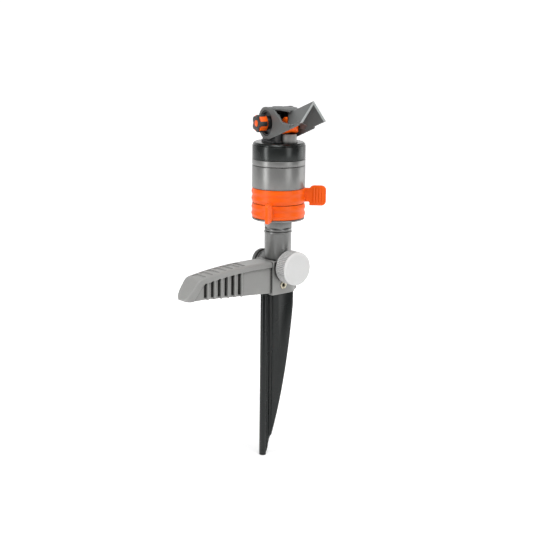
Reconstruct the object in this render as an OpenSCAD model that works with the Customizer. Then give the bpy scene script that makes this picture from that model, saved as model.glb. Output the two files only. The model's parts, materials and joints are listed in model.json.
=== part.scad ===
// Spike-mounted turbine sprinkler: through-feed foot, turning gear barrel and tilting deflector head.
// Millimetres. Origin on the riser axis at the soil line, +Z up, foot arm towards -X, jet towards -Y.

/* [Spike] */
// Length of the spike below the soil line
spike_length = 168; // [150:1:180]
// Wall thickness of the spike's curved blade
spike_wall = 2.6; // [2.2:0.1:3.2]

/* [Foot] */
// Distance from the riser axis to the outer end of the foot arm
arm_length = 118; // [112:1:124]
// Number of cross ribs on the foot arm, and of slots in each of its sides
arm_ribs = 6; // [4:1:6]
// Number of grip ribs round the closing cap
cap_grips = 56; // [40:1:72]

/* [Sector rings] */
// Direction of the upper ring's tab, in degrees from +X
upper_tab_angle = -44; // [-60:1:-30]
// Direction of the lower ring's tab, in degrees from +X
lower_tab_angle = -144; // [-160:1:-130]

/* [Head] */
// Half width of the deflector hood's mouth
mouth_half_width = 13.9; // [13.7:0.1:15]
// Number of lobes on the star knob
knob_lobes = 5; // [5:1:7]

/* [Output] */
// The node to draw, or all of them

/* [Hidden] */
$fn = 64;

grey = [0.42, 0.43, 0.43];
light_grey = [0.62, 0.62, 0.61];
dark_grey = [0.2, 0.21, 0.21];
black = [0.06, 0.065, 0.07];
orange = [0.95, 0.3, 0.06];
white = [0.85, 0.85, 0.85];
steel = [0.7, 0.7, 0.72];
brass = [0.8, 0.68, 0.4];
cream = [0.85, 0.83, 0.76];

// Height of the through pipe's axis above the soil line, and of the cross bolt
pipe_z = 27.5;
bolt_z = 8.7;
// Half width of the hub housing and height of its top
hub_half = 12.8;
hub_top = 33.6;
// Face between the hub housing and the foot arm
arm_joint_x = -16.4;
// Radius of the riser tube, and height of its top
riser_r = 13.2;
riser_top = 64.2;
// Reach of the ring tabs from the barrel's axis
tab_reach = 46.6;
// Barrel radius, and the heights of the gaps between base, barrel and cap
barrel_r = 26;
base_z = 73.4;
barrel_z = 104.8;
cap_z = 132.8;
cap_top = 148.8;
// Gear module, tooth counts and the distance between the two gear axes
gear_module = 0.5;
wheel_teeth = 30;
pinion_teeth = 12;
axle_offset = gear_module * (wheel_teeth + pinion_teeth) / 2;
// Radius of the steel gear pins, and of the gear bores that run on them
pin_r = 1;
pin_bore_r = 1.05;
// How far the head is turned on the barrel at rest, clockwise from above when negative
head_turn = -11;
// Water tube position, in the head's own directions
tube_x = 3.4;
tube_y = -14.1;
// Hood pivot axis, along the head's own X
pivot_y = 0.6;
pivot_z = 167.4;
// Upward slope of the hood's ridge and lower edges
hood_slope = 18.5;
// Upward slope of the nozzle
jet_slope = 10;
// Position of the cross bolt along X
bolt_x = -2.8;

// ---------- helpers ----------

module ring(outer, inner, low, high) {
    translate([0, 0, low])
        difference() {
            cylinder(r = outer, h = high - low);
            translate([0, 0, -1]) cylinder(r = inner, h = high - low + 2);
        }
}

module rod(radius, low, high) {
    translate([0, 0, low]) cylinder(r = radius, h = high - low);
}

// A rod along Y from y = low to y = high on the through pipe's axis
module pipe_rod(radius, low, high) {
    translate([0, high, pipe_z])
        rotate([90, 0, 0]) cylinder(r = radius, h = high - low);
}

module rounded_rect(x0, y0, x1, y1, r) {
    translate([x0 + r, y0]) square([x1 - x0 - 2 * r, y1 - y0]);
    translate([x0, y0 + r]) square([x1 - x0, y1 - y0 - 2 * r]);
    for (x = [x0 + r, x1 - r], y = [y0 + r, y1 - r])
        translate([x, y]) circle(r = r);
}

// Extrudes a side view drawn in Y and Z, from x = low to x = high
module side_slab(low, high) {
    translate([low, 0, 0])
        rotate([90, 0, 90]) linear_extrude(height = high - low) children();
}

// Extrudes a side view drawn in X and Z, from y = low to y = high
module front_slab(low, high) {
    translate([0, high, 0])
        rotate([90, 0, 0]) linear_extrude(height = high - low) children();
}

module o_ring(radius, section, z) {
    translate([0, 0, z])
        rotate_extrude() translate([radius, 0]) circle(r = section, $fn = 24);
}

module gear_outline(teeth) {
    step = 360 / teeth;
    pitch_r = gear_module * teeth / 2;
    tip_r = pitch_r + 0.9 * gear_module;
    root_r = pitch_r - 1.25 * gear_module;
    corners = [[root_r, -0.29], [tip_r, -0.1], [tip_r, 0.1], [root_r, 0.29]];
    polygon([for (i = [0 : teeth - 1], c = corners)
        [c[0] * cos((i + c[1]) * step), c[0] * sin((i + c[1]) * step)]]);
}

module gear(teeth, low, high) {
    translate([0, 0, low]) linear_extrude(height = high - low) gear_outline(teeth);
}

// ---------- foot ----------

// Half-lens of the spike's blade: two shallow arcs that meet at the spine
module blade_lens(inset) {
    intersection_for (side = [-1, 1])
        translate([11.5, side * 38.2]) circle(r = 49.2 - inset, $fn = 128);
}

module spike() {
    color(black) {
        difference() {
            intersection() {
                translate([0, 0, -spike_length])
                    linear_extrude(height = spike_length - 0.15)
                        difference() {
                            union() {
                                blade_lens(0);
                                translate([-16.6, 0]) circle(r = 3.7);
                            }
                            difference() {
                                blade_lens(spike_wall);
                                translate([-30, -20]) square([17, 40]);
                            }
                            // groove between the spine and the blade
                            for (side = [-1, 1])
                                translate([-12.4, side * 5.5]) circle(r = 1.9);
                        }
                front_slab(-20, 20)
                    intersection() {
                        translate([-991, 82 * spike_length / 168])
                            circle(r = 1007, $fn = 360);
                        translate([-30, -spike_length]) square([41.5, spike_length]);
                    }
            }
            // slanted cut across the tip
            translate([-22, -20, -spike_length - 10])
                rotate([0, 20, 0]) cube([30, 40, 9]);
        }
        // cross web that closes the blade under the foot
        translate([0, 0, -6])
            linear_extrude(height = 5.85) intersection() {
                blade_lens(1);
                translate([-17, -20]) square([28, 40]);
            }
        // plug that goes up into the hub
        difference() {
            translate([-10, -8, -0.15]) cube([20, 16, 13]);
            translate([bolt_x - 3.1, -6.2, 2]) cube([6.2, 12.4, 12]);
            translate([bolt_x, 9, bolt_z]) rotate([90, 0, 0]) cylinder(r = 2.15, h = 18);
        }
    }
}

module hub_outline(grow) {
    translate([arm_joint_x, -hub_half - grow]) square([22, 2 * (hub_half + grow)]);
    translate([5.6, 0]) circle(r = hub_half + grow);
}

module hub_housing() {
    color(light_grey)
        difference() {
            union() {
                linear_extrude(height = hub_top) hub_outline(0);
                // rim round the top edge
                translate([0, 0, hub_top - 5.6]) linear_extrude(height = 5.6) hub_outline(0.7);
                // rounded nub at the outer end
                translate([16.6, -5, 3]) sphere(r = 3.2);
            }
            // saddle that the riser tee drops into
            pipe_rod(11.7, -20, 20);
            translate([-11.7, -20, pipe_z]) cube([23.4, 40, 20]);
            // socket for the spike's plug, and the slot for the tee's lug
            translate([-10.2, -8.2, -1]) cube([20.4, 16.4, 14.2]);
            translate([bolt_x - 3, -6.2, 12]) cube([6, 12.4, 6]);
            // cross bolt, its head recess and the nut's pocket
            translate([bolt_x, 20, bolt_z]) rotate([90, 0, 0]) cylinder(r = 2.1, h = 40);
            translate([bolt_x, 20, bolt_z]) rotate([90, 0, 0]) cylinder(r = 4.2, h = 9.2);
            translate([bolt_x, -10, bolt_z]) rotate([90, 0, 0]) cylinder(r = 4.15, h = 9, $fn = 6);
            // dovetail slot for the foot arm
            translate([arm_joint_x - 1, -6.1, -1]) cube([5.1, 12.2, 20]);
        }
}

// Height of the foot arm's top edge at a distance from the riser axis
function arm_top(x) = 33.4 - 7.6 * pow(max(0, -x - 36) / 76, 2);
// Height of the foot arm's lower edge
function arm_low(x) = 1.6 + 5.4 * min(1, max(0, -x - 16) / 80);

module arm_side(drop, trim) {
    end_x = -arm_length + trim;
    start_x = arm_joint_x - 0.1 - trim;
    steps = [for (i = [0 : 12]) start_x + i / 12 * (end_x + 17 - start_x)];
    nose = [for (i = [1 : 6]) pow(1 - i / 6, 2) * [end_x + 17, arm_top(end_x + 17) - drop]
        + 2 * i / 6 * (1 - i / 6) * [end_x + 12.5, arm_top(end_x + 12.5) - drop]
        + pow(i / 6, 2) * [end_x + 9.8, 22 - drop]];
    polygon(concat(
        [[start_x, arm_low(-17)]],
        [for (x = steps) [x, arm_top(x) - drop]],
        nose,
        [[end_x, arm_low(end_x) + 1.8], [end_x + 0.6, arm_low(end_x) + 0.4]],
        [[end_x + 2, arm_low(end_x)], [-96, arm_low(-96)], [-56, arm_low(-56)]]
    ));
}

// Side view of the sunk tread: a band that follows the arm's top edge
module tread_side(depth, height) {
    points = [for (i = [0 : 8]) -99.5 + 6.6 * i];
    polygon(concat([for (x = points) [x, arm_top(x) + height]],
        [for (i = [8 : -1 : 0]) [points[i], arm_top(points[i]) - depth]]));
}

module arm_plan(inset) {
    end_x = -arm_length + inset;
    corner = 9.5 - inset / 2;
    half_end = 11 - inset;
    half_root = 12.5 - inset;
    intersection() {
        polygon([[0, -half_root], [0, half_root], [end_x, half_end], [end_x, -half_end]]);
        union() {
            translate([end_x + corner, -20]) square([arm_length, 40]);
            translate([end_x, -half_end + corner]) square([arm_length, 2 * (half_end - corner)]);
            for (side = [-1, 1])
                translate([end_x + corner, side * (half_end - corner)]) circle(r = corner);
        }
    }
}

module foot_arm() {
    rib_step = 8.06;
    first_rib = -96;
    color(light_grey)
        difference() {
            union() {
                // recessed side walls
                intersection() {
                    front_slab(-20, 20) arm_side(1, 0.2);
                    linear_extrude(height = 60) arm_plan(2);
                }
                // overhanging lip along the top and the outer end, stepped towards a round edge
                for (step = [[0, 2.2], [0.4, 1], [1, 0.35], [2.2, 0]])
                    intersection() {
                        front_slab(-20, 20)
                            difference() {
                                arm_side(step[0], 0);
                                translate([4.5, -5.4]) arm_side(0, 0);
                            }
                        linear_extrude(height = 60) arm_plan(step[1]);
                    }
                // upright ribs beside the slots
                for (i = [0 : arm_ribs - 1], side = [-1, 1]) {
                    x = first_rib + i * rib_step;
                    translate([x + 2.1, side * (10.1 + 0.012 * (96 + x)), arm_low(x) - 0.3])
                        cylinder(r = 1.1, h = arm_top(x) - 4.8 - arm_low(x), $fn = 24);
                }
                // dovetail that slides up into the hub
                translate([arm_joint_x - 4, -6, 2.2]) cube([7.9, 12, 16.6]);
            }
            // sunk tread between the lips, crossed by the ribs that are left standing
            difference() {
                front_slab(-8, 8) tread_side(1.1, 3);
                for (i = [0 : arm_ribs - 1]) {
                    x = first_rib + 3.5 + i * rib_step;
                    translate([x, 9, arm_top(x) - 0.9])
                        rotate([90, 0, 0]) cylinder(r = 1.3, h = 18, $fn = 20);
                }
            }
            // open underside
            intersection() {
                translate([0, 0, -3]) front_slab(-20, 20) arm_side(0, 2.8);
                translate([-3, 0, 0]) linear_extrude(height = 60) arm_plan(7.2);
                translate([-arm_length, -20, -5]) cube([arm_length - 24, 40, 80]);
            }
            intersection() {
                translate([-arm_length + 10, -4.2, -1]) cube([arm_length - 34, 8.4, 12]);
                translate([-arm_length, -20, -5]) cube([arm_length - 24, 40, 80]);
            }
            // side slots
            for (i = [0 : arm_ribs - 1]) {
                x = first_rib + i * rib_step;
                for (side = [-1, 1])
                    translate([x - 1.6, side * 12.2 - 5.6, arm_low(x) + 1.8])
                        cube([2.6, 11.2, arm_top(x) - 7.4 - arm_low(x)]);
            }
        }
}

module cross_bolt() {
    color(steel)
        difference() {
            union() {
                translate([bolt_x, 12.4, bolt_z]) rotate([90, 0, 0]) cylinder(r = 2, h = 22.9);
                translate([bolt_x, 13.6, bolt_z]) rotate([90, 0, 0]) cylinder(r = 3.8, h = 2.6);
            }
            translate([bolt_x - 3, 12.6, bolt_z - 0.5]) cube([6, 3, 1]);
        }
}

module hex_nut() {
    color(cream)
        difference() {
            translate([bolt_x, -10.1, bolt_z]) rotate([90, 0, 0]) cylinder(r = 4.05, h = 3.2, $fn = 6);
            translate([bolt_x, -9, bolt_z]) rotate([90, 0, 0]) cylinder(r = 2.05, h = 6);
        }
}

module riser_tee() {
    color(grey)
        difference() {
            union() {
                rod(riser_r, 33.9, riser_top);
                ring(riser_r + 0.5, 11, 59.7, 61.2);
                pipe_rod(11.5, -15.4, 15.4);
                intersection() {
                    rod(11.4, pipe_z, 36);
                    translate([-11.4, -20, pipe_z]) cube([22.8, 40, 20]);
                }
                // threaded stub for the closing cap, with its thread crests
                pipe_rod(9.8, -27.4, -15);
                for (i = [0 : 3]) pipe_rod(10.4, -18.6 - 2.6 * i, -17.4 - 2.6 * i);
                // stub that the inlet nipple is fixed on
                pipe_rod(7.8, 15, 21.2);
                // lug that the cross bolt holds down
                translate([bolt_x - 2.8, -6, 3.6]) cube([5.6, 12, 16]);
            }
            pipe_rod(6, -30, 22);
            rod(9, pipe_z, riser_top + 1);
            rod(10.5, 53.8, riser_top + 1);
            ring(riser_r + 1, riser_r - 0.5, 61.2, 61.9);
            translate([bolt_x, 9, bolt_z]) rotate([90, 0, 0]) cylinder(r = 2.1, h = 18);
        }
}

module pipe_ring(outer, inner, low, high) {
    difference() {
        pipe_rod(outer, low, high);
        pipe_rod(inner, low - 1, high + 1);
    }
}

module neck_gasket() {
    color(black) pipe_ring(13.4, 11.56, -15.7, -13.65);
}

module inlet_nipple() {
    color(grey)
        difference() {
            union() {
                pipe_rod(11.2, 15.6, 17.8);
                pipe_rod(9.4, 17, 26);
                pipe_rod(10.6, 19.4, 20.8);
                pipe_rod(11.5, 22.6, 26.6);
            }
            pipe_rod(7.9, 15, 23);
            pipe_rod(7, 22, 28);
        }
}

module inlet_washer() {
    color(black) pipe_ring(7.7, 6.1, 21.35, 22.85);
}

module inlet_strainer() {
    color(white)
        difference() {
            union() {
                pipe_ring(5.85, 5.05, 12, 20.6);
                pipe_rod(5.5, 12, 13);
            }
            for (x = [-3, 0, 3], z = [-3, 0, 3])
                translate([x, 14, pipe_z + z]) rotate([90, 0, 0]) cylinder(r = 1, h = 3, $fn = 20);
        }
}

// ---------- base and stem ----------

module union_nut() {
    color(light_grey)
        difference() {
            union() {
                translate([0, 0, riser_top + 0.15])
                    rotate([0, 0, -56]) cylinder(r = 13.9, h = 8.95, $fn = 6);
                rod(10.3, 54.2, 66);
            }
            rod(7.5, 66.4, 75);
            rod(5, 50, 70);
            o_ring(10.3, 1.3, 58.5);
        }
}

module union_o_ring() {
    color(black) o_ring(10.15, 0.3, 58.5);
    color(black) ring(10.42, 9.3, 57.9, 59.1);
}

module base_cup() {
    color(light_grey)
        difference() {
            union() {
                rod(barrel_r - 0.3, base_z, base_z + 1.5);
                rod(22.8, base_z, 100);
            }
            translate([0, 0, base_z + 3.2]) cylinder(r = 21.2, h = 40);
            rod(7.45, base_z - 1, base_z + 10);
            // drain holes through the floor
            for (i = [0 : 5])
                rotate([0, 0, 60 * i + 30]) translate([15, 0, base_z - 1]) cylinder(r = 1.6, h = 8);
        }
}

module stem() {
    color(light_grey)
        difference() {
            union() {
                rod(7.4, 66.8, 107.3);
                rod(9.2, 77, 103.2);
                rod(6.2, 106, 112.4);
            }
            rod(4.4, 60, 120);
            ring(9, 6.4, 105.2, 106.6);
        }
}

module thrust_washer() {
    color(white) ring(10.4, 7.5, 103.3, 104.6);
}

module stem_o_ring() {
    color(black) ring(7.4, 6.45, 105.3, 106.5);
}

module retaining_washer() {
    color(steel) ring(9.4, 6.3, 107.45, 107.95);
}

module fixed_gear() {
    color(white)
        difference() {
            rotate([0, 0, 90]) gear(wheel_teeth, 108.1, 112.3);
            rod(6.22, 100, 120);
        }
}

// ---------- closing cap ----------

module closing_cap() {
    step = 360 / cap_grips;
    color(white)
        difference() {
            intersection() {
                translate([0, -15.9, pipe_z])
                    rotate([90, 0, 0])
                        linear_extrude(height = 15.5)
                            polygon([for (i = [0 : cap_grips - 1], c = [[16.55, -0.3], [16.55, 0.1],
                                    [15.75, 0.25], [15.75, 0.55]])
                                [c[0] * cos((i + c[1]) * step), c[0] * sin((i + c[1]) * step)]]);
                translate([0, -15.9, pipe_z])
                    rotate([90, 0, 0])
                        rotate_extrude()
                            union() {
                                square([16.8, 12.9]);
                                square([14.3, 15.5]);
                                translate([14.2, 12.9]) circle(r = 2.55);
                            }
            }
            pipe_rod(10.75, -28.7, -15);
        }
}

module cap_washer() {
    color(black) pipe_ring(10.3, 6.4, -28.55, -27.5);
}

// ---------- sector rings ----------

// Half section of a ring with a waved outer face
module wave_section(inner, low, high, waves) {
    count = waves * 6;
    polygon(concat(
        [[inner, low], [25.6, low]],
        [for (i = [0 : count]) [26.05 + 0.42 * cos(360 * waves * i / count + 180),
            low + 0.5 + (high - low - 1) * i / count]],
        [[25.6, high], [inner, high]]
    ));
}

// Radial tab with a ribbed thumb pad, drawn along +X
module ring_tab(neck_low, neck_high, pad_low, pad_high) {
    front_slab(-1.5, 1.5) {
        translate([24.6, neck_low]) square([9, neck_high - neck_low]);
        rounded_rect(30.4, pad_low, tab_reach, pad_high, 4.5);
        translate([30.4, pad_low]) square([4.6, 5]);
    }
    for (i = [0 : 3], side = [-1, 1])
        translate([34.6 + 2.8 * i, side * 1.35, pad_low + 2.8])
            cylinder(r = 0.8, h = pad_high - pad_low - 5.6, $fn = 20);
}

module sector_ring_lower() {
    color(orange)
        difference() {
            union() {
                rotate_extrude() wave_section(23.1, 75.3, 89.4, 2);
                ring(24, 23.1, 76, 101.9);
                // stop lug over the cup's rim
                rotate([0, 0, lower_tab_angle])
                    translate([20.4, -1.5, 100.3]) cube([3.2, 3, 1.6]);
                rotate([0, 0, lower_tab_angle]) ring_tab(76.4, 88.6, 74.8, 94.4);
            }
            // clear of the upper ring
            ring(29.4, 24.3, 89.4, 120);
            rod(20.4, 60, 120);
        }
}

module sector_ring_upper() {
    color(orange)
        difference() {
            union() {
                rotate_extrude() wave_section(24.3, 89.8, 104.4, 2);
                rotate([0, 0, upper_tab_angle])
                    translate([20.4, -1.5, 102.4]) cube([4.5, 3, 1.6]);
                rotate([0, 0, upper_tab_angle]) ring_tab(90.6, 104.2, 87, 106.8);
            }
            // clear of the lower ring
            ring(29.4, 20, 60, 89.8);
        }
}

// ---------- turning barrel ----------

module barrel_shell() {
    color(light_grey)
        difference() {
            union() {
                rod(barrel_r, barrel_z, cap_z - 0.5);
                rod(19.9, 98.5, barrel_z + 1);
            }
            rod(23.4, 107.2, 140);
            rod(18.4, 90, barrel_z);
            rod(7.46, 100, 120);
            ring(barrel_r + 1, barrel_r - 0.9, 126.1, 127.1);
            // axle seat and the slot that the shift ring's finger comes down through
            translate([0, axle_offset, 105]) cylinder(r = pin_r + 0.02, h = 5);
            for (i = [0 : 2])
                rotate([0, 0, -90 + 120 * i]) translate([15.5, 0, 104]) cylinder(r = 2.2, h = 5);
            translate([-3.4, -20.4, 104]) cube([6.8, 3.8, 5]);
        }
}

module gear_axle() {
    color(steel) translate([0, axle_offset, 105.4]) cylinder(r = pin_r, h = 18.6);
}

module turbine_pin() {
    color(steel) rod(pin_r, 112.7, 134.8);
}

module gear_plate() {
    color(black)
        difference() {
            union() {
                rod(20, 122.9, 124.1);
                for (a = [0, 180, 330])
                    rotate([0, 0, a]) translate([18, 0, 107.3]) cylinder(r = 1.8, h = 16);
            }
            rod(4.2, 120, 126);
            translate([0, axle_offset, 120]) cylinder(r = pin_r + 0.02, h = 6);
            for (a = [20, 160, 200, 340])
                rotate([0, 0, a]) translate([12, 0, 120]) cylinder(r = 2.4, h = 6);
            translate([-4, -21, 120]) cube([8, 5.4, 6]);
        }
}

module stator() {
    color(white)
        difference() {
            union() {
                ring(20, 18.2, 124.3, 132.4);
                rod(20, 132.2, 133.6);
                rod(3.4, 131.7, 135.2);
            }
            rod(pin_r + 0.02, 130, 134.9);
            // notch that the shift ring's finger moves in
            translate([-4, -21, 124]) cube([8, 4.6, 2.8]);
            for (i = [0 : 5])
                rotate([0, 0, 60 * i]) translate([11, 0, 130]) cylinder(r = 3.6, h = 6);
            // tangential jets through the wall
            for (i = [0 : 7])
                rotate([0, 0, 45 * i + 22.5]) translate([10, 12.5, 128.2]) rotate([0, 90, 0])
                    cylinder(r = 1.2, h = 12, $fn = 20);
        }
}

module shift_ring() {
    color(orange)
        difference() {
            union() {
                ring(17.8, 13.6, 124.4, 126.4);
                translate([-1.2, -19.4, 104.3]) cube([2.4, 2.2, 21]);
                translate([-1.2, -19.4, 124.4]) cube([2.4, 3, 2]);
            }
            for (i = [0 : 7])
                rotate([0, 0, 45 * i]) translate([13, -1.5, 124]) cube([3, 3, 3]);
        }
}

module shift_spring() {
    color(steel) {
        translate([9.5, -13.4, 122.2])
            rotate_extrude(angle = 180) translate([2.4, 0]) circle(r = 0.4, $fn = 20);
        for (side = [-1, 1])
            translate([9.5 + side * 2.4, -13.4, 122.2]) rotate([90, 0, 0])
                cylinder(r = 0.4, h = 3.4, $fn = 20);
    }
}

// ---------- gear train ----------

module on_axle() {
    translate([0, axle_offset, 0]) children();
}

module gear_low() {
    color(white) on_axle()
        difference() {
            union() {
                rotate([0, 0, 270 + 15]) gear(pinion_teeth, 108.1, 113);
                rotate([0, 0, 270 + 6]) gear(wheel_teeth, 112.8, 115.6);
            }
            rod(pin_bore_r, 100, 130);
        }
}

module gear_middle() {
    color(light_grey)
        difference() {
            union() {
                rotate([0, 0, 90]) gear(pinion_teeth, 112.9, 116.2);
                rotate([0, 0, 90]) gear(wheel_teeth, 116.1, 118.9);
            }
            rod(pin_bore_r, 100, 130);
        }
}

module gear_high() {
    color(white) on_axle()
        difference() {
            union() {
                rotate([0, 0, 270 + 15]) gear(pinion_teeth, 116.1, 119.4);
                rotate([0, 0, 270 + 6]) gear(wheel_teeth, 119.3, 122.4);
            }
            rod(pin_bore_r, 100, 130);
        }
}

module turbine_rotor() {
    color(orange)
        difference() {
            union() {
                rotate([0, 0, 90]) gear(pinion_teeth, 119.3, 122.7);
                rod(3.4, 122.5, 131.2);
                rod(11.8, 124.7, 125.7);
                for (i = [0 : 9])
                    rotate([0, 0, 36 * i]) translate([2.6, -0.5, 125.5]) cube([9.6, 1, 5.2]);
            }
            rod(pin_bore_r, 110, 140);
        }
}

// ---------- turret cap and water way ----------

// Places a piece drawn in the head's own directions, jet towards -Y
module on_head() {
    rotate([0, 0, head_turn]) children();
}

module at_tube() {
    on_head() translate([tube_x, tube_y, 0]) children();
}

// Draws a side view centred on the pivot axis, from x = low to x = high
module pivot_slab(low, high) {
    side_slab(low, high) translate([pivot_y, pivot_z]) children();
}

module turret_cap() {
    color(dark_grey)
        difference() {
            union() {
                rod(barrel_r, cap_z, 146);
                rod(barrel_r - 1.1, 145.8, 147.4);
                translate([0, 0, 147]) cylinder(r1 = barrel_r - 0.3, r2 = barrel_r - 1.9, h = cap_top - 147);
                rod(23.2, 128, cap_z + 1);
            }
            rod(21.6, 120, 145.4);
            at_tube() rod(5.5, 140, 160);
            at_tube() rod(7.6, 147.4, 160);
            ring(24, 22.2, 129.6, 131);
            for (side = [-1, 1])
                on_head() translate([side * 7, 7, 140]) cylinder(r = 1.3, h = 20);
        }
}

module cap_o_ring() {
    color(black) ring(23.3, 22.3, 129.7, 130.9);
}

module yoke() {
    color(black) on_head()
        difference() {
            union() {
                // foot on the cap
                translate([0, 0, cap_top + 0.1])
                    linear_extrude(height = 1.9)
                        difference() {
                            rounded_rect(-14.5, -14, 14.5, 13, 5);
                            translate([tube_x, tube_y]) circle(r = 8);
                        }
                // two cheeks
                for (side = [-1, 1])
                    side_slab(side * 10.2 - 1.5, side * 10.2 + 1.5) {
                        polygon([[-13, cap_top + 1], [12, cap_top + 1], [12, 154], [9.2, 162], [-8, 162],
                            [-13, 155.4]]);
                        translate([pivot_y, pivot_z]) circle(r = 9.4);
                    }
                // block between the cheeks, behind the water tube
                difference() {
                    translate([-9, -13, cap_top + 1]) cube([18, 25, 7.4]);
                    translate([tube_x, tube_y, 140]) cylinder(r = 8, h = 30);
                    translate([tube_x - 8, -20, 140]) cube([20, 20 + tube_y, 30]);
                }
                // round boss that the hood's large eye turns on
                pivot_slab(-13.6, -9) circle(r = 12.1);
                // hub that the knob's spindle runs in
                pivot_slab(-15.6, -9) circle(r = 6.5);
                // trunnion on the far side
                pivot_slab(9, 14.2) circle(r = 3.4);
            }
            pivot_slab(-20, -11)
                difference() {
                    circle(r = 11);
                    circle(r = 6.5);
                }
            pivot_slab(-20, 12) circle(r = 1.88);
            // clear of the water tube
            translate([tube_x, tube_y, 140]) cylinder(r = 7.5, h = 19);
            pivot_slab(11.9, 20) circle(r = 1.3);
            for (side = [-1, 1])
                translate([side * 7, 7, 140]) cylinder(r = 1.3, h = 20);
        }
}

module water_tube() {
    color(light_grey) at_tube()
        difference() {
            union() {
                rod(7.2, 147.6, 157.8);
                rod(5.3, 142, 148);
            }
            rod(4, 140, 160);
            ring(8, 4.6, 144, 145.2);
        }
}

module tube_o_ring() {
    color(black) at_tube() ring(5.4, 4.65, 144.1, 145.1);
}

// Side view of the nozzle body: a boat whose keel rises towards the jet
module nozzle_side() {
    polygon([[-7, 158.1], [-12, 157.9], [-15.6, 158.4], [-18.7, 159.8], [-21, 162], [-22.6, 165],
        [-23.4, 168.4], [-23, 171.6], [-6, 168], [-5.6, 160]]);
}

// Places a piece on the jet's axis, which leaves the nozzle along its own Z
module on_jet() {
    translate([0, -12, 168]) rotate([90 - jet_slope, 0, 0]) children();
}

module nozzle_body() {
    color(orange) on_head()
        difference() {
            union() {
                intersection() {
                    side_slab(-7.6, 11) nozzle_side();
                    translate([0, 0, 150]) linear_extrude(height = 30)
                        union() {
                            translate([-7.6, -20]) square([15.9, 16]);
                            intersection() {
                                translate([1.7, -15.1]) circle(r = 9.4);
                                translate([-7.6, -40]) square([18.6, 26.7]);
                            }
                        }
                }
                on_jet() rod(4.2, -4, 20);
                // raised pointer seen through the hood's window
                intersection() {
                    side_slab(-7.6, -4) polygon([[-12, 166], [-14, 169.4], [-23.4, 175.2], [-29.6, 174.2],
                        [-29.6, 170.6], [-22, 165]]);
                    translate([0, 0, 160]) linear_extrude(height = 20)
                        polygon([[-7.7, -8], [-3.9, -8], [-3.9, -23.2], [-7.7, -29.9]]);
                }
            }
            translate([tube_x, tube_y, 150]) cylinder(r = 4, h = 14);
            translate([tube_x, tube_y, 162]) rotate([0, -40, 0]) cylinder(r = 2.6, h = 8);
            on_jet() rod(2.4, 0, 24);
            on_jet() rod(3.3, 12, 40);
        }
}

module nozzle_tip() {
    color(black) on_head() on_jet()
        difference() {
            rod(3.26, 12.2, 23);
            rod(1.9, 11, 40);
        }
}

// ---------- deflector hood ----------

// Section of the mouth, seen along its slope
module tent_outline(inset) {
    height = 18.8;
    lean = atan(mouth_half_width / height);
    base = mouth_half_width - inset / cos(lean);
    polygon([[-base - 3 * tan(lean) * sign(inset), -3 * sign(inset)],
        [base + 3 * tan(lean) * sign(inset), -3 * sign(inset)],
        [0, height - inset / sin(lean)]]);
}

module tent(inset) {
    translate([0, -5, 154.2])
        rotate([90 - hood_slope, 0, 0]) linear_extrude(height = 80) tent_outline(inset);
}

// Plan of the mouth: swallow-tailed at the rear, square at the rim
module mouth_plan() {
    polygon([[0, -17], [13.4, -41], [13.4, -30], [20, -30], [20, -65], [-20, -65], [-20, -30],
        [-13.4, -30], [-13.4, -41]]);
}

module cheek(low, high, eye_r) {
    side_slab(low, high)
        difference() {
            union() {
                translate([1.2, 167.2]) circle(r = 15.7, $fn = 96);
                polygon([[8, 166], [2, 182.4], [-8, 182.2], [-17.2, 180], [-24.9, 174.9], [-31.1, 170.8],
                    [-44, 170.6], [-55, 172.4], [-63.5, 172.4], [-59.8, 171], [-33.4, 161.9], [-17.1, 156.2],
                    [-4.2, 151.9]]);
            }
            translate([pivot_y, pivot_z]) circle(r = eye_r);
        }
}

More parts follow.
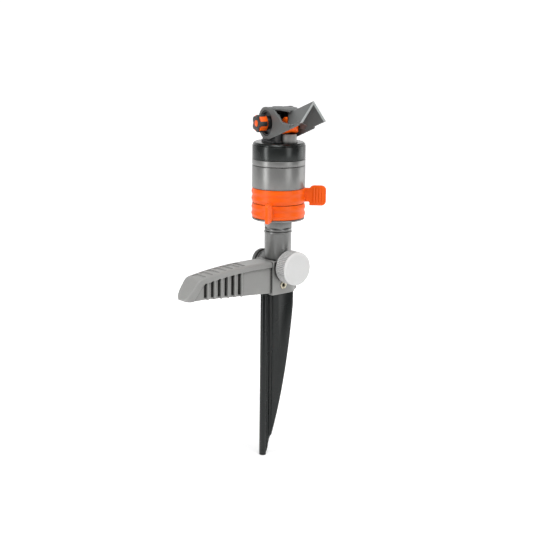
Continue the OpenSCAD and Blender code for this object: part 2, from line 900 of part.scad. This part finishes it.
module deflector_hood() {
    color(grey) on_head()
        difference() {
            union() {
                cheek(-14.3, -12.8, 12.5);
                difference() {
                    cheek(12.8, 14.3, 3.45);
                    translate([10, -70, 150]) cube([10, 26, 30]);
                }
                // lower bands that carry the scale
                intersection() {
                    union() {
                        side_slab(-14.3, -10.6) polygon([[-30, 161.2], [-30, 165], [-31.1, 170.8], [-44, 170.6],
                            [-55, 172.4], [-63.5, 172.4], [-59.8, 171], [-33.4, 161.9]]);
                        side_slab(10.6, 14.3) polygon([[-30, 161.2], [-30, 165], [-31.1, 170.8], [-44, 170.6],
                            [-44, 165.6], [-33.4, 161.9]]);
                    }
                    difference() {
                        translate([-20, -65, 150]) cube([40, 40, 40]);
                        tent(1.4);
                    }
                }
                // trumpet-shaped mouth
                intersection() {
                    difference() {
                        tent(0);
                        tent(1.4);
                    }
                    translate([0, 0, 140]) linear_extrude(height = 70) mouth_plan();
                }
                // thicker rim round the mouth
                intersection() {
                    difference() {
                        tent(0);
                        tent(2.1);
                    }
                    translate([-20, -65, 150]) cube([40, 2.4, 60]);
                }
                // roof
                intersection() {
                    side_slab(-20, 20) polygon([[13, 180.2], [13, 181.3], [0, 182.1], [-18, 182.9], [-26, 181.9],
                        [-26, 179.4], [-18, 181], [0, 180.4]]);
                    translate([0, 0, 150]) linear_extrude(height = 50)
                        polygon([[-9, 13], [7, 13], [12.9, 4], [12.9, -12], [3, -26], [-3, -26], [-12.9, -14],
                            [-12.9, 6]]);
                }
                // round pivot disc on the roof
                translate([0, 2, 180.6]) cylinder(r = 6, h = 1.9);
                // rear wall
                side_slab(-13, 13)
                    intersection() {
                        difference() {
                            translate([1.2, 167.2]) circle(r = 15.4, $fn = 96);
                            translate([1.2, 167.2]) circle(r = 13.9, $fn = 96);
                        }
                        translate([4, 166]) square([20, 20]);
                    }
                // inner panels seen through the windows
                for (side = [-1, 1])
                    side_slab(side * 11.9 - 0.7, side * 11.9 + 0.7) polygon([[-13.5, 163], [-13.5, 177.6],
                        [-20, 177.6], [-26, 172], [-31.5, 170.8], [-31.5, 163]]);
            }
            // three scale slots
            for (i = [0 : 2])
                side_slab(-20, -10) translate([-46.6 - 5.6 * i, 167.4 + 1.93 * i]) square([1.5, 3]);
        }
}

module pivot_button() {
    color(dark_grey) on_head() {
        pivot_slab(14.5, 16) circle(r = 5);
        pivot_slab(12, 15) circle(r = 1.25);
    }
}

// ---------- star knob ----------

module knob_lobes_outline(grow) {
    for (i = [0 : knob_lobes - 1])
        rotate(360 / knob_lobes * i + 180) translate([5.3, 0]) circle(r = 3.3 + grow, $fn = 32);
}

module star_knob() {
    color(black) on_head()
        difference() {
            pivot_slab(-24.8, -16.9) {
                circle(r = 6);
                knob_lobes_outline(0);
            }
            pivot_slab(-30, -10) circle(r = 3.2);
        }
}

module knob_core() {
    color(orange) on_head()
        difference() {
            union() {
                pivot_slab(-25.1, -15.9) circle(r = 3.1);
                pivot_slab(-24, -16.6)
                    difference() {
                        circle(r = 8.1);
                        circle(r = 6.06);
                        knob_lobes_outline(0.06);
                    }
                // web behind the star that ties the fillings to the core
                pivot_slab(-16.8, -15.9) circle(r = 7.6);
            }
            pivot_slab(-19.9, 0) circle(r = 1.85);
        }
}

module knob_spindle() {
    color(steel) on_head() {
        pivot_slab(-19.8, 11.6) circle(r = 1.8);
        pivot_slab(-5, -1) circle(r = 4);
    }
}

spike();
hub_housing();
foot_arm();
cross_bolt();
hex_nut();
riser_tee();
neck_gasket();
inlet_nipple();
inlet_washer();
inlet_strainer();
union_nut();
union_o_ring();
base_cup();
stem();
thrust_washer();
stem_o_ring();
retaining_washer();
fixed_gear();
closing_cap();
cap_washer();
sector_ring_lower();
sector_ring_upper();
barrel_shell();
gear_axle();
turbine_pin();
gear_plate();
stator();
shift_ring();
shift_spring();
gear_low();
gear_middle();
gear_high();
turbine_rotor();
turret_cap();
cap_o_ring();
yoke();
water_tube();
tube_o_ring();
nozzle_body();
nozzle_tip();
deflector_hood();
pivot_button();
star_knob();
knob_core();
knob_spindle();
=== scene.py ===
"""Turbine sprinkler on a spike: moulded surfaces, materials, studio light and camera on the frame."""
import json
import math

import bmesh
import bpy
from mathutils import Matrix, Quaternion, Vector


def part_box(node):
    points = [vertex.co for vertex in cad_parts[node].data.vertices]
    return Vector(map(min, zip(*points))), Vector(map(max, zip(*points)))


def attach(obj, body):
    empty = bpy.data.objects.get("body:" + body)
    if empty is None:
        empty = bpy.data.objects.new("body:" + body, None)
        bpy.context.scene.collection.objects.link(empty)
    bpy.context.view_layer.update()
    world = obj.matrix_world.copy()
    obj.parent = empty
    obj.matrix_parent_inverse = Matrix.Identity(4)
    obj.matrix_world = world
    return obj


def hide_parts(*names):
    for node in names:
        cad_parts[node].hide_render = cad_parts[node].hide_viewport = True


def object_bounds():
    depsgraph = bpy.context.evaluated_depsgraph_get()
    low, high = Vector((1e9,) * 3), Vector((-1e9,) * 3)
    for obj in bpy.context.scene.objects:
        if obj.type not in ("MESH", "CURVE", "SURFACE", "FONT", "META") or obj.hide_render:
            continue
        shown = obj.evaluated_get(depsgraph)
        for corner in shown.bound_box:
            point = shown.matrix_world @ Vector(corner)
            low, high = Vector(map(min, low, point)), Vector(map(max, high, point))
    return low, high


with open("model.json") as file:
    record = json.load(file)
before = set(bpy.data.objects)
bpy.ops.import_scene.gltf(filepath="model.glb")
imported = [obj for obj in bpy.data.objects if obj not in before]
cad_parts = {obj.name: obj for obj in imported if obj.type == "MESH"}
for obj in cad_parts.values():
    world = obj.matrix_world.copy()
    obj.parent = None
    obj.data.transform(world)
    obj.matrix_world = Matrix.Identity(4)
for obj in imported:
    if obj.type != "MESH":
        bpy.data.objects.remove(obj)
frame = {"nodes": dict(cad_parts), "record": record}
CAD_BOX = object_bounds()
RECORD = frame["record"]
MM = 0.001

BODY_OF = {node: body for body, nodes in RECORD["behaviour"]["bodies"].items() for node in nodes}
SLOT_OF = {part["node"]: part["material_slot"] for part in RECORD["subparts"]}


# ---------- camera, light and floor ----------

CAMERA_AZIMUTH = math.radians(-40.0)
CAMERA_PITCH = math.radians(13.0)
CAMERA_ROLL = math.radians(0.7)
CAMERA_DISTANCE = 1.3
CAMERA_LENS_MM = 85.75
CAMERA_SENSOR_MM = 36.0
CAMERA_SHIFT = -0.0044
CAMERA_NEAR = 0.05
CAMERA_FAR = 50.0
AIM = Vector((0.0, 0.0, 0.016))

# Soft boxes: name, degrees round from the camera, degrees up, distance, width, height, watts, height aimed at
LIGHTS = [
    ("strip_left", -57, 0, 0.6, 0.12, 0.8, 2.1, 0.25),
    ("strip_right", 44, 8, 1.3, 0.42, 1.5, 5.6, 0.05),
    ("box_right", 112, 6, 1.2, 0.7, 1.5, 5.0, 0.05),
    ("box_top", 14, 66, 1.3, 1.0, 1.0, 14.5, 0.05),
]

# Brightness of the surroundings: what they cast on the object, and what the camera sees past the floor's edge
WORLD_CAST = 0.10
WORLD_SEEN = 0.82

# Floor sheet, in metres: half its width, its reach towards the camera, and the sweep up behind the object
FLOOR_HALF = 6.0
FLOOR_FRONT = 9.0
FLOOR_GAP = 0.0005
SWEEP_START = 1.4
SWEEP_RADIUS = 0.8
SWEEP_STEPS = 12
SWEEP_TOP = 2.6

# The sheet's own glow grows from near to far over this stretch away from the camera
GLOW_START = -0.5
GLOW_STOP = 0.7
GLOW_NEAR = 0.08
GLOW_FAR = 0.6


def direction(azimuth, elevation):
    """Unit vector from the object towards a point at that azimuth and elevation, in radians."""
    flat = math.cos(elevation)
    return Vector((math.sin(azimuth) * flat, -math.cos(azimuth) * flat, math.sin(elevation)))


def aimed(back):
    """Rotation of a camera or lamp that stands in that direction and looks back along it."""
    return (-back).to_track_quat("-Z", "Y")


def make_camera():
    data = bpy.data.cameras.new("camera")
    data.lens = CAMERA_LENS_MM
    data.sensor_width = CAMERA_SENSOR_MM
    data.shift_x = CAMERA_SHIFT
    data.clip_start = CAMERA_NEAR
    data.clip_end = CAMERA_FAR
    data.dof.use_dof = False
    camera = bpy.data.objects.new("camera", data)
    bpy.context.scene.collection.objects.link(camera)
    back = direction(CAMERA_AZIMUTH, CAMERA_PITCH)
    camera.location = AIM + back * CAMERA_DISTANCE
    camera.rotation_mode = "QUATERNION"
    camera.rotation_quaternion = aimed(back) @ Quaternion((0, 0, 1), CAMERA_ROLL)
    bpy.context.scene.camera = camera


def soft_box(name, azimuth, elevation, distance, width, height, power, aim_z):
    """A lamp that lights the object but isn't seen itself."""
    data = bpy.data.lights.new(name, "AREA")
    data.shape = "RECTANGLE"
    data.size = width
    data.size_y = height
    data.energy = power
    light = bpy.data.objects.new(name, data)
    light.visible_camera = False
    bpy.context.scene.collection.objects.link(light)
    back = direction(CAMERA_AZIMUTH + math.radians(azimuth), math.radians(elevation))
    light.location = Vector((0.0, 0.0, aim_z)) + back * distance
    light.rotation_mode = "QUATERNION"
    light.rotation_quaternion = aimed(back)


def make_world():
    """Pale, even surroundings that light the object less than they show."""
    world = bpy.data.worlds.new("studio")
    world.use_nodes = True
    tree = world.node_tree
    background = tree.nodes["Background"]
    background.inputs["Color"].default_value = (1.0, 1.0, 1.0, 1.0)
    rays = tree.nodes.new("ShaderNodeLightPath")
    glow = mapped(tree, rays.outputs["Is Camera Ray"], 0.0, 1.0, WORLD_CAST, WORLD_SEEN)
    tree.links.new(glow.outputs["Result"], background.inputs["Strength"])
    bpy.context.scene.world = world


def light_backdrop(paper, away):
    """Makes the sheet glow where it rises, and leaves it nearly plain paper in front of the object."""
    tree = paper.node_tree
    shader = tree.nodes["Principled BSDF"]
    shader.inputs["Emission Color"].default_value = (1.0, 1.0, 1.0, 1.0)
    position = tree.nodes.new("ShaderNodeTexCoord").outputs["Object"]
    glow = mapped(tree, along(tree, position, away), GLOW_START, GLOW_STOP, GLOW_NEAR, GLOW_FAR)
    glow.interpolation_type = "SMOOTHSTEP"
    tree.links.new(glow.outputs["Result"], shader.inputs["Emission Strength"])


def make_floor():
    """A pale sheet under the tip of the spike that sweeps up behind the object."""
    turns = [math.pi / 2 * step / SWEEP_STEPS for step in range(1, SWEEP_STEPS + 1)]
    rows = [(-FLOOR_FRONT, 0.0), (SWEEP_START, 0.0)]
    rows += [(SWEEP_START + math.sin(turn) * SWEEP_RADIUS, SWEEP_RADIUS - math.cos(turn) * SWEEP_RADIUS)
             for turn in turns]
    rows += [(SWEEP_START + SWEEP_RADIUS, SWEEP_TOP)]
    low = CAD_BOX[0].z - FLOOR_GAP
    away = -direction(CAMERA_AZIMUTH, 0.0)
    side = Vector((away.y, -away.x, 0.0))
    mesh = bmesh.new()
    strip = [[mesh.verts.new(away * depth + side * across + Vector((0, 0, low + rise)))
              for across in (-FLOOR_HALF, FLOOR_HALF)] for depth, rise in rows]
    for near, far in zip(strip, strip[1:]):
        mesh.faces.new((near[0], near[1], far[1], far[0])).smooth = True
    data = bpy.data.meshes.new("floor")
    mesh.to_mesh(data)
    mesh.free()
    floor = bpy.data.objects.new("floor", data)
    bpy.context.scene.collection.objects.link(floor)
    paper = plastic("floor_paper", (0.93, 0.93, 0.93), 0.85, grain=220, bump=0.02, shift=0.005, spread=0.01,
                    corner_shade=0.0)
    light_backdrop(paper, away)
    data.materials.append(paper)


# ---------- materials ----------

# Slow noise and fine grain: their scale and detail, and where the noise reaches the darker and lighter tone
CLOUD_SCALE = 30.0
CLOUD_DETAIL = 4.0
CLOUD_DARK = 0.3
CLOUD_LIGHT = 0.7
GRAIN_DETAIL = 3.0
GRAIN_TINT = 1.6
SMOOTHEST = 0.03

# Painted shade in corners, creases, under lips and in joints between parts begins and is full where a point
# is this open to the air, and has this share of the colour
PROBE_SAMPLES = 6
SHADE_BEGINS = 0.92
SHADE_FULL = 0.5
SHADE_TONE = 0.12

# Wear and painted highlight on thin edges begin and are full where the solid behind a point is this thick,
# probed to this depth
WEAR_AND_HIGHLIGHT_DEPTH = 0.9 * MM
WEAR_AND_HIGHLIGHT_BEGINS = 0.95
WEAR_AND_HIGHLIGHT_FULL = 0.35
WEAR_AND_HIGHLIGHT_LIFT = 0.02

# The hood's mouth faces this way, level with the ground, and its rim gets a painted highlight past this
# distance
HEAD_TURN = math.radians(11.0)
MOUTH_WAY = (-math.sin(HEAD_TURN), -math.cos(HEAD_TURN), 0.0)
RIM_START = 64.3 * MM
RIM_STOP = 64.8 * MM
RIM_COVER = 0.9


def scaled(colour, factor, lift=0.0):
    """The colour made lighter or darker, never past white."""
    return [min(1.0, channel * factor + lift) for channel in colour]


def mapped(tree, value, start, stop, low, high):
    """Node that maps a value socket from start..stop to low..high."""
    node = tree.nodes.new("ShaderNodeMapRange")
    node.inputs["From Min"].default_value = start
    node.inputs["From Max"].default_value = stop
    node.inputs["To Min"].default_value = low
    node.inputs["To Max"].default_value = high
    tree.links.new(value, node.inputs["Value"])
    return node


def along(tree, position, way):
    """Socket that says how far a position lies along a direction."""
    node = tree.nodes.new("ShaderNodeVectorMath")
    node.operation = "DOT_PRODUCT"
    node.inputs[1].default_value = way
    tree.links.new(position, node.inputs[0])
    return node.outputs["Value"]


def noise(tree, position, scale, detail):
    """Socket of a noise over the position."""
    node = tree.nodes.new("ShaderNodeTexNoise")
    node.inputs["Scale"].default_value = scale
    node.inputs["Detail"].default_value = detail
    tree.links.new(position, node.inputs["Vector"])
    return node.outputs["Fac"]


def openness(tree, distance, inside=False):
    """Socket that says how open a point is to the air or, if inside, how thick the solid behind it is."""
    node = tree.nodes.new("ShaderNodeAmbientOcclusion")
    node.samples = PROBE_SAMPLES
    node.inside = inside
    node.only_local = inside
    node.inputs["Distance"].default_value = distance
    return node.outputs["AO"]


def tinted(tree, base, cover, colour):
    """Socket of the base colour with another laid over it as far as the cover node says."""
    node = tree.nodes.new("ShaderNodeMixRGB")
    node.inputs["Color2"].default_value = (*colour, 1)
    tree.links.new(cover.outputs["Result"], node.inputs["Fac"])
    tree.links.new(base, node.inputs["Color1"])
    return node.outputs["Color"]


def clouded(tree, drift, fine, colour, shift):
    """Socket of the colour with slow drift and fine specks in it."""
    tone = tree.nodes.new("ShaderNodeValToRGB")
    dark, light = tone.color_ramp.elements
    dark.position = CLOUD_DARK
    dark.color = (*scaled(colour, 1 - shift), 1)
    light.position = CLOUD_LIGHT
    light.color = (*scaled(colour, 1 + shift), 1)
    tree.links.new(drift, tone.inputs["Fac"])
    speck = tree.nodes.new("ShaderNodeMixRGB")
    speck.blend_type = "OVERLAY"
    speck.inputs["Fac"].default_value = min(1.0, shift * GRAIN_TINT)
    tree.links.new(tone.outputs["Color"], speck.inputs["Color1"])
    tree.links.new(fine, speck.inputs["Color2"])
    return speck.outputs["Color"]


def plastic(name, colour, rough, grain=900, bump=0.12, depth=0.06 * MM, shift=0.05, metallic=0.0,
            specular=0.5, streak=None, wear_and_highlight=0.0, spread=0.06, corner_shade=0.85, reach=1.8 * MM, edge_tone=1.8,
            rim_highlight_tone=None):
    """Moulded plastic or metal: fine grain, slow drift of colour and gloss, painted shade in corners and
    joints, edges lightened as wear and painted highlight, and a painted highlight on the hood's rim.
    """
    material = bpy.data.materials.new(name)
    material.use_nodes = True
    tree = material.node_tree
    shader = tree.nodes["Principled BSDF"]
    shader.inputs["Metallic"].default_value = metallic
    shader.inputs["Specular IOR Level"].default_value = specular

    position = tree.nodes.new("ShaderNodeTexCoord").outputs["Object"]
    drift = noise(tree, position, CLOUD_SCALE, CLOUD_DETAIL)
    grain_position = position
    if streak:
        stretch = tree.nodes.new("ShaderNodeMapping")
        stretch.inputs["Scale"].default_value = (1.0, 1.0, streak)
        tree.links.new(position, stretch.inputs["Vector"])
        grain_position = stretch.outputs["Vector"]
    fine = noise(tree, grain_position, grain, GRAIN_DETAIL)

    base = clouded(tree, drift, fine, colour, shift)
    # Painted shade: corners, creases and joints between parts are darkened where less light reaches them
    if corner_shade:
        painted_shade = mapped(tree, openness(tree, reach), SHADE_BEGINS, SHADE_FULL, 0.0, corner_shade)
        base = tinted(tree, base, painted_shade, scaled(colour, SHADE_TONE))
    # Worn edges and painted highlight: thin edges are lightened as if rubbed and as if catching the light
    if wear_and_highlight:
        edge = mapped(tree, openness(tree, WEAR_AND_HIGHLIGHT_DEPTH, inside=True), WEAR_AND_HIGHLIGHT_BEGINS, WEAR_AND_HIGHLIGHT_FULL, 0.0, wear_and_highlight)
        base = tinted(tree, base, edge, scaled(colour, edge_tone, WEAR_AND_HIGHLIGHT_LIFT))
    # Painted highlight: the hood's rim is lightened where it faces the light
    if rim_highlight_tone:
        rim = mapped(tree, along(tree, position, MOUTH_WAY), RIM_START, RIM_STOP, 0.0, RIM_COVER)
        base = tinted(tree, base, rim, scaled(colour, rim_highlight_tone))
    tree.links.new(base, shader.inputs["Base Color"])

    gloss = mapped(tree, drift, 0.0, 1.0, max(SMOOTHEST, rough - spread), min(1.0, rough + spread))
    tree.links.new(gloss.outputs["Result"], shader.inputs["Roughness"])

    relief = tree.nodes.new("ShaderNodeBump")
    relief.inputs["Strength"].default_value = bump
    relief.inputs["Distance"].default_value = depth
    tree.links.new(fine, relief.inputs["Height"])
    tree.links.new(relief.outputs["Normal"], shader.inputs["Normal"])
    return material


# In these looks the darkened corners and joints are painted shade, the lightened edges are wear and painted
# highlight, and the hood's lightened rim is a painted highlight
LOOKS = {
    "spike_black": {
        "colour": (0.007, 0.009, 0.0086), "rough": 0.27, "grain": 700, "bump": 0.2, "depth": 0.08 * MM,
        "shift": 0.12, "specular": 0.36, "streak": 0.25, "wear_and_highlight": 0.5, "edge_tone": 3.0, "corner_shade": 0.9,
        "reach": 3.0 * MM},
    "foot_grey": {
        "colour": (0.295, 0.295, 0.286), "rough": 0.42, "grain": 1100, "bump": 0.35, "depth": 0.1 * MM,
        "metallic": 0.1, "wear_and_highlight": 0.45, "corner_shade": 0.95, "reach": 3.4 * MM},
    "riser_grey": {
        "colour": (0.2, 0.202, 0.198), "rough": 0.3, "grain": 1000, "bump": 0.2, "depth": 0.08 * MM,
        "shift": 0.06, "metallic": 0.45, "wear_and_highlight": 0.3, "corner_shade": 0.95, "reach": 2.6 * MM},
    "barrel_silver": {
        "colour": (0.235, 0.235, 0.23), "rough": 0.33, "grain": 1300, "metallic": 0.45, "streak": 0.2,
        "wear_and_highlight": 0.35},
    "cap_dark": {
        "colour": (0.026, 0.029, 0.028), "rough": 0.24, "grain": 1200, "bump": 0.08, "shift": 0.08,
        "metallic": 0.45, "wear_and_highlight": 0.5, "edge_tone": 3.0},
    "black_plastic": {
        "colour": (0.018, 0.019, 0.02), "rough": 0.38, "bump": 0.2, "depth": 0.08 * MM, "shift": 0.1,
        "wear_and_highlight": 0.4},
    "orange_plastic": {
        "colour": (0.92, 0.115, 0.002), "rough": 0.38, "grain": 1000, "bump": 0.15, "shift": 0.03,
        "specular": 0.3, "wear_and_highlight": 0.08, "corner_shade": 0.5},
    "head_grey": {
        "colour": (0.095, 0.1, 0.098), "rough": 0.5, "grain": 1300, "bump": 0.5, "depth": 0.12 * MM,
        "shift": 0.1, "wear_and_highlight": 0.8, "edge_tone": 3.2, "rim_highlight_tone": 4.0},
    "cap_white": {
        "colour": (0.66, 0.66, 0.655), "rough": 0.42, "grain": 800, "bump": 0.15, "shift": 0.03,
        "wear_and_highlight": 0.2, "corner_shade": 0.95, "reach": 3.5 * MM},
    "rubber_black": {
        "colour": (0.018, 0.018, 0.018), "rough": 0.7, "grain": 700, "bump": 0.3, "depth": 0.1 * MM,
        "shift": 0.12},
    "steel": {
        "colour": (0.32, 0.32, 0.335), "rough": 0.34, "grain": 1500, "bump": 0.1, "metallic": 1.0,
        "streak": 0.1},
    "nut_cream": {
        "colour": (0.72, 0.66, 0.50), "rough": 0.34, "grain": 1200, "bump": 0.15, "shift": 0.06,
        "metallic": 0.5, "wear_and_highlight": 0.3},
    "gear_white": {
        "colour": (0.7, 0.7, 0.66), "rough": 0.45, "bump": 0.15, "shift": 0.03},
    "gear_grey": {
        "colour": (0.36, 0.36, 0.36), "rough": 0.45, "bump": 0.15, "shift": 0.04},
}


# ---------- moulded copies of the CAD nodes ----------

# Vertices this close are one, faces this level are one, and edges sharper than a crease stay sharp
MERGE_DISTANCE = 0.002 * MM
FLAT_ANGLE = math.radians(0.4)
BEVEL_SEGMENTS = 2
BEVEL_FROM = math.radians(32)
BEVEL_CREASE = math.radians(40)
MELT_FACTOR = 0.5
MELT_CREASE = math.radians(60)


def clean_copy(node):
    """The node's mesh with its split vertices merged and its flat faces made whole."""
    mesh = bmesh.new()
    mesh.from_mesh(frame["nodes"][node].data)
    bmesh.ops.remove_doubles(mesh, verts=mesh.verts, dist=MERGE_DISTANCE)
    bmesh.ops.dissolve_limit(mesh, angle_limit=FLAT_ANGLE, verts=mesh.verts, edges=mesh.edges)
    data = bpy.data.meshes.new(node + "_moulded")
    mesh.to_mesh(data)
    mesh.free()
    return data


def give_material(data, node):
    data.materials.clear()
    data.materials.append(MATERIALS[SLOT_OF[node]])


def link_piece(data, node):
    piece = bpy.data.objects.new(node + "_moulded", data)
    bpy.context.scene.collection.objects.link(piece)
    give_material(data, node)
    return piece


def settle(piece, crease):
    """Applies the piece's modifiers and marks the edges that stay sharp."""
    depsgraph = bpy.context.evaluated_depsgraph_get()
    data = bpy.data.meshes.new_from_object(piece.evaluated_get(depsgraph))
    old = piece.data
    piece.modifiers.clear()
    piece.data = data
    bpy.data.meshes.remove(old)
    data.shade_smooth()
    data.set_sharp_from_angle(angle=crease)


def replace_node(piece, node):
    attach(piece, BODY_OF[node])
    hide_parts(node)


def bevelled(node, width):
    """Replaces a node with a copy whose edges are rounded."""
    piece = link_piece(clean_copy(node), node)
    bevel = piece.modifiers.new("round", "BEVEL")
    bevel.width = width * MM
    bevel.segments = BEVEL_SEGMENTS
    bevel.limit_method = "ANGLE"
    bevel.angle_limit = BEVEL_FROM
    bevel.miter_outer = "MITER_ARC"
    settle(piece, BEVEL_CREASE)
    replace_node(piece, node)


def melted(node, voxel, rounds):
    """Replaces a node with a copy whose edges and inner corners are filleted all over."""
    piece = link_piece(clean_copy(node), node)
    remesh = piece.modifiers.new("remesh", "REMESH")
    remesh.mode = "VOXEL"
    remesh.voxel_size = voxel * MM
    smooth = piece.modifiers.new("smooth", "SMOOTH")
    smooth.factor = MELT_FACTOR
    smooth.iterations = rounds
    settle(piece, MELT_CREASE)
    replace_node(piece, node)


# ---------- closing cap ----------

CAP_BORE = 10.75 * MM
CAP_WALL = 2.7 * MM
CAP_CHAMFER = 0.4 * MM
CAP_FILLET = 2.6 * MM
CAP_FILLET_STEPS = 8
CAP_CREASE = math.radians(50)

# Upright ribs of the grip: how many, points round each, depth, run-out at the front and depth left there
RIBS = 56
RIB_SAMPLES = 8
RIB_DEPTH = 0.85 * MM
RIB_RUNOUT = 0.9 * MM
RIB_LEFT = 0.55
VALLEY_POWER = 0.7

# Plain collar behind the ribs: its width, how far it lies under them, and its rounded edge
COLLAR_WIDTH = 1.1 * MM
COLLAR_STEP = 0.6 * MM
COLLAR_ROUND = 0.7 * MM
COLLAR_ROUND_MID = (0.5 * MM, 0.15 * MM)

# Depth of the dished face at its rim, at its deepest ring, on its inner slope and at its middle
DISH_DEPTHS = (0.12 * MM, 0.3 * MM, 0.22 * MM, 0.2 * MM)
DISH_RIM = 1.0 * MM
DISH_RING = 2.2 * MM
DISH_SLOPE = 0.4


def lathe_along_y(profile, centre_x, centre_z, ribs, samples):
    """Turns (y, radius, rib depth) points about an axis along Y; all lengths in metres."""
    mesh = bmesh.new()
    count = ribs * samples
    angles = [2 * math.pi * step / count for step in range(count)]
    rings = []
    for y, radius, depth in profile:
        if radius == 0.0:
            rings.append([mesh.verts.new((centre_x, y, centre_z))])
            continue
        ring = []
        for angle in angles:
            valley = (0.5 - 0.5 * math.cos(ribs * angle)) ** VALLEY_POWER
            r = radius - depth * valley
            ring.append(mesh.verts.new((centre_x + r * math.cos(angle), y, centre_z + r * math.sin(angle))))
        rings.append(ring)
    for low, high in zip(rings, rings[1:]):
        for i in range(count):
            j = (i + 1) % count
            corners = [low[i % len(low)], low[j % len(low)], high[j % len(high)], high[i % len(high)]]
            face = list(dict.fromkeys(corners))
            if len(face) > 2:
                mesh.faces.new(face)
    bmesh.ops.recalc_face_normals(mesh, faces=mesh.faces)
    data = bpy.data.meshes.new("lathe")
    mesh.to_mesh(data)
    mesh.free()
    return data


def closing_cap():
    """Screw cap of the through pipe: ribbed grip, rounded shoulder and a faintly dished face."""
    low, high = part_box("closing_cap")
    radius = (high.x - low.x) / 2
    face = radius - CAP_FILLET
    back, front = high.y, low.y

    bore = [(front + CAP_WALL, 0.0, 0.0), (front + CAP_WALL, CAP_BORE, 0.0),
            (back - CAP_CHAMFER, CAP_BORE, 0.0), (back, CAP_BORE + CAP_CHAMFER, 0.0)]
    under = radius - COLLAR_STEP
    collar = [(back, under - COLLAR_ROUND, 0.0),
              (back - COLLAR_ROUND_MID[0], under - COLLAR_ROUND_MID[1], 0.0),
              (back - COLLAR_WIDTH, under, 0.0)]
    grip = [(back - COLLAR_WIDTH - COLLAR_STEP, radius, RIB_DEPTH),
            (front + CAP_FILLET + RIB_RUNOUT, radius, RIB_DEPTH),
            (front + CAP_FILLET, radius - 0.02 * MM, RIB_DEPTH * RIB_LEFT)]
    turns = [math.pi / 2 * step / CAP_FILLET_STEPS for step in reversed(range(CAP_FILLET_STEPS))]
    shoulder = [(front + CAP_FILLET * (1 - math.cos(turn)), face + CAP_FILLET * math.sin(turn), 0.0)
                for turn in turns]
    dish_radii = (face - DISH_RIM, face - DISH_RING, face * DISH_SLOPE, 0.0)
    dish = [(front + depth, dish_radius, 0.0) for depth, dish_radius in zip(DISH_DEPTHS, dish_radii)]

    data = lathe_along_y(bore + collar + grip + shoulder + dish, (low.x + high.x) / 2, (low.z + high.z) / 2,
                         RIBS, RIB_SAMPLES)
    piece = link_piece(data, "closing_cap")
    data.shade_smooth()
    data.set_sharp_from_angle(angle=CAP_CREASE)
    replace_node(piece, "closing_cap")


# ---------- the whole picture ----------

# Width of the rounded edges, in millimetres
BEVELLED = {
    "spike": 0.5, "hex_nut": 0.25, "riser_tee": 0.4, "inlet_nipple": 0.4, "union_nut": 0.45, "base_cup": 0.35,
    "barrel_shell": 0.25, "turret_cap": 0.3, "yoke": 0.4, "water_tube": 0.3, "nozzle_tip": 0.2,
    "pivot_button": 0.3, "star_knob": 0.45, "knob_core": 0.25, "neck_gasket": 0.3, "cross_bolt": 0.3,
}

# Grain of the remeshed surface, in millimetres, and rounds of smoothing
MELTED = {
    "foot_arm": (0.36, 2), "hub_housing": (0.4, 3), "deflector_hood": (0.32, 3), "nozzle_body": (0.35, 8),
    "sector_ring_lower": (0.4, 3), "sector_ring_upper": (0.4, 3),
}

MATERIALS = {name: plastic(name, **look) for name, look in LOOKS.items()}

for part, width in BEVELLED.items():
    bevelled(part, width)
for part, (voxel, rounds) in MELTED.items():
    melted(part, voxel, rounds)
closing_cap()
for part, piece in frame["nodes"].items():
    if part not in BEVELLED and part not in MELTED and part != "closing_cap":
        give_material(piece.data, part)

make_floor()
for box in LIGHTS:
    soft_box(*box)
make_world()
make_camera()
bpy.context.scene.view_settings.view_transform = "Standard"
